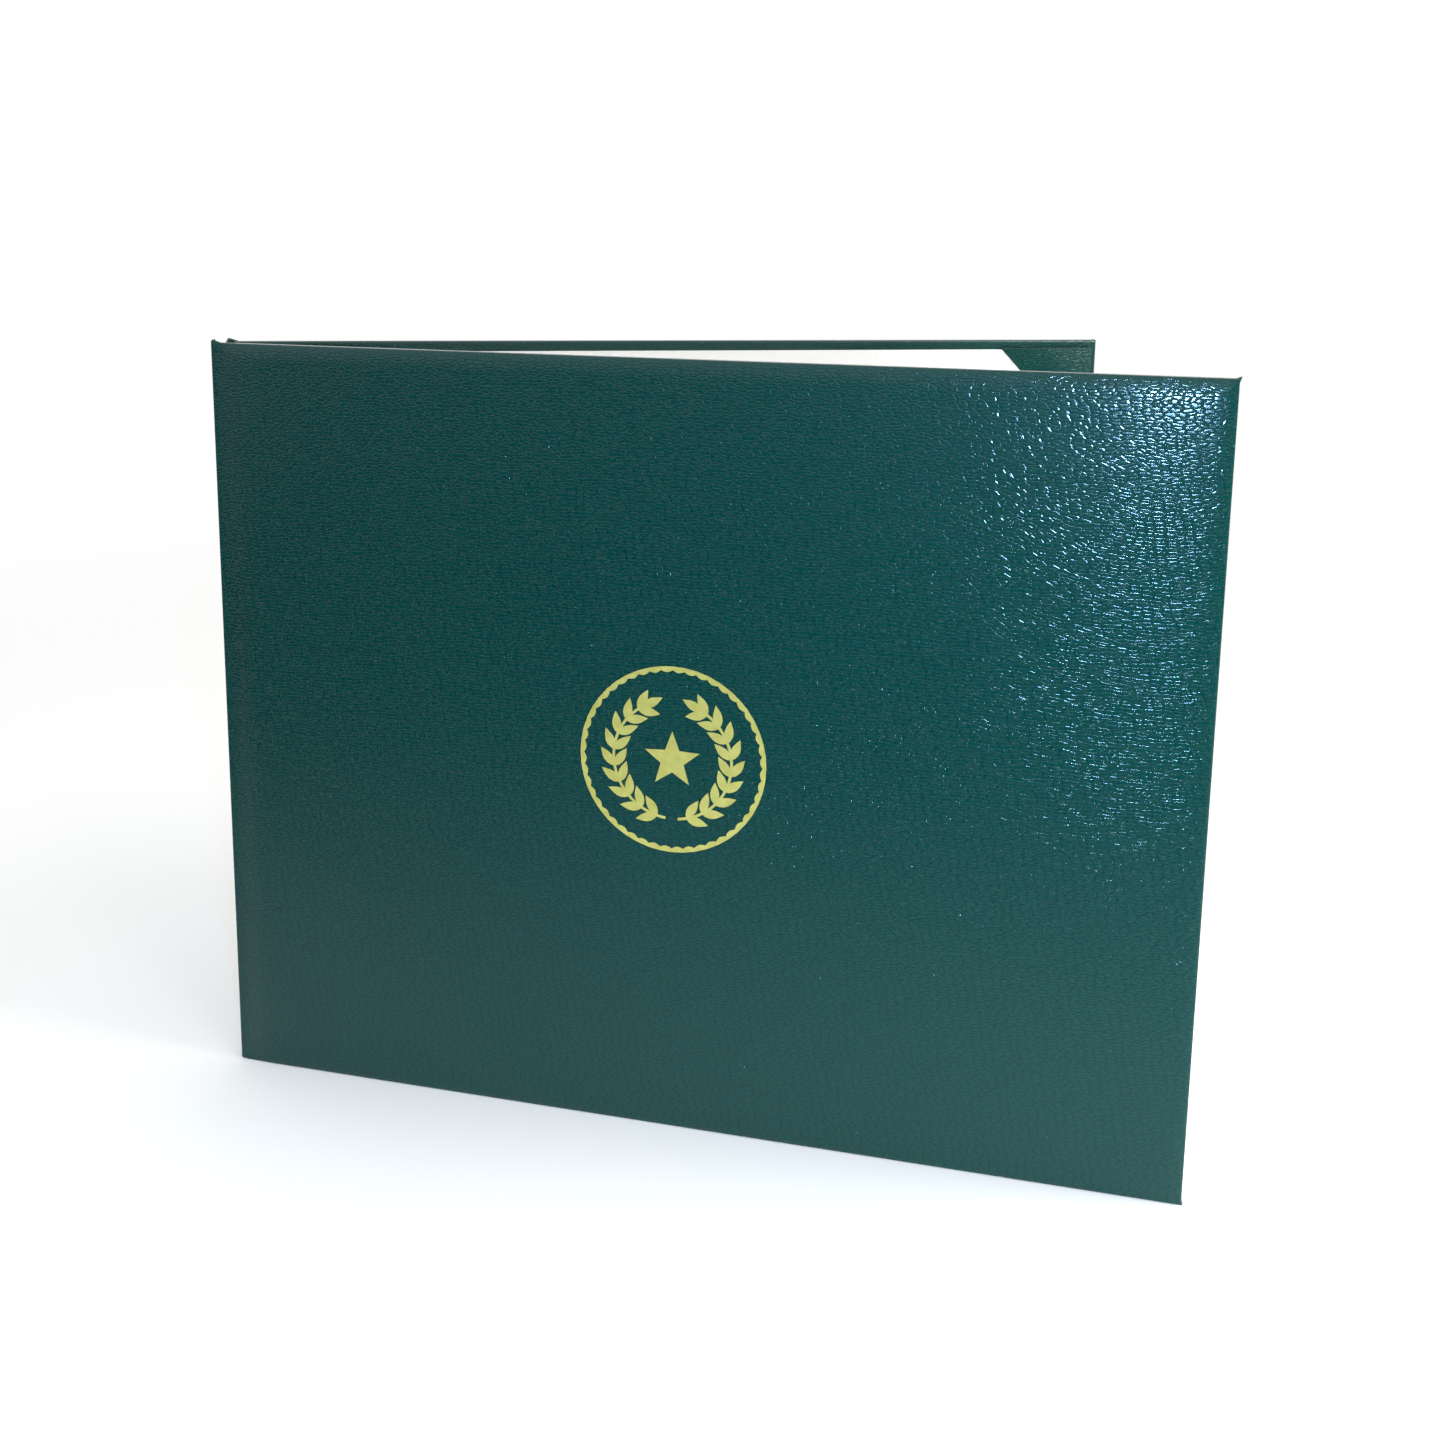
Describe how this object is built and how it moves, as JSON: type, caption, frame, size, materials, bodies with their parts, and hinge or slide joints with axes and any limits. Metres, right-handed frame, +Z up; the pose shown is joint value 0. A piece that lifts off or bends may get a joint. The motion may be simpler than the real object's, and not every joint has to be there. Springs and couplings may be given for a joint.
{
  "type": "diploma cover",
  "caption": "Padded leatherette certificate cover that opens like a book, with a soft spine, a foil emblem on the front and corners inside that hold a landscape sheet.",
  "frame": {"origin": "on the table, in the middle of the footprint", "axes": "+Z up, +X along the front cover from the spine to its fore edge, +Y from the front cover towards the back cover"},
  "size_m": [0.292, 0.1608, 0.229],
  "materials": {
    "leatherette": "dark teal green vinyl leatherette, fine embossed straight grain, satin gloss",
    "lining": "thin dark teal green lining leatherette, satin",
    "foam": "thin pale foam sheet, hidden",
    "grey_board": "grey binder's board, hidden",
    "white_card": "smooth white faced card",
    "gold_foil": "bright gold hot-stamped foil"
  },
  "bodies": {
    "back_cover": {"back_skin": "leatherette", "back_padding": "foam", "back_board": "grey_board", "back_hinge_lining": "lining", "back_inner_panel": "white_card", "corner_top_outer": "leatherette", "corner_top_spine": "leatherette", "corner_bottom_outer": "leatherette", "corner_bottom_spine": "leatherette"},
    "spine": {"spine_skin": "leatherette", "spine_lining": "lining"},
    "front_cover": {"front_skin": "leatherette", "front_padding": "foam", "front_board": "grey_board", "front_hinge_lining": "lining", "front_inner_panel": "white_card", "foil_ring": "gold_foil", "foil_branch_left": "gold_foil", "foil_branch_right": "gold_foil", "foil_star": "gold_foil"}
  },
  "joints": [
    {"name": "back_fold", "type": "hinge", "parent": "back_cover", "child": "spine", "pos_m": [-0.14601, -0.07008, 0], "axis": [0, 0, -1], "range_deg": [-31, 59]},
    {"name": "front_fold", "type": "hinge", "parent": "spine", "child": "front_cover", "pos_m": [-0.14601, -0.07928, 0], "axis": [0, 0, -1], "range_deg": [0, 90]}
  ]
}
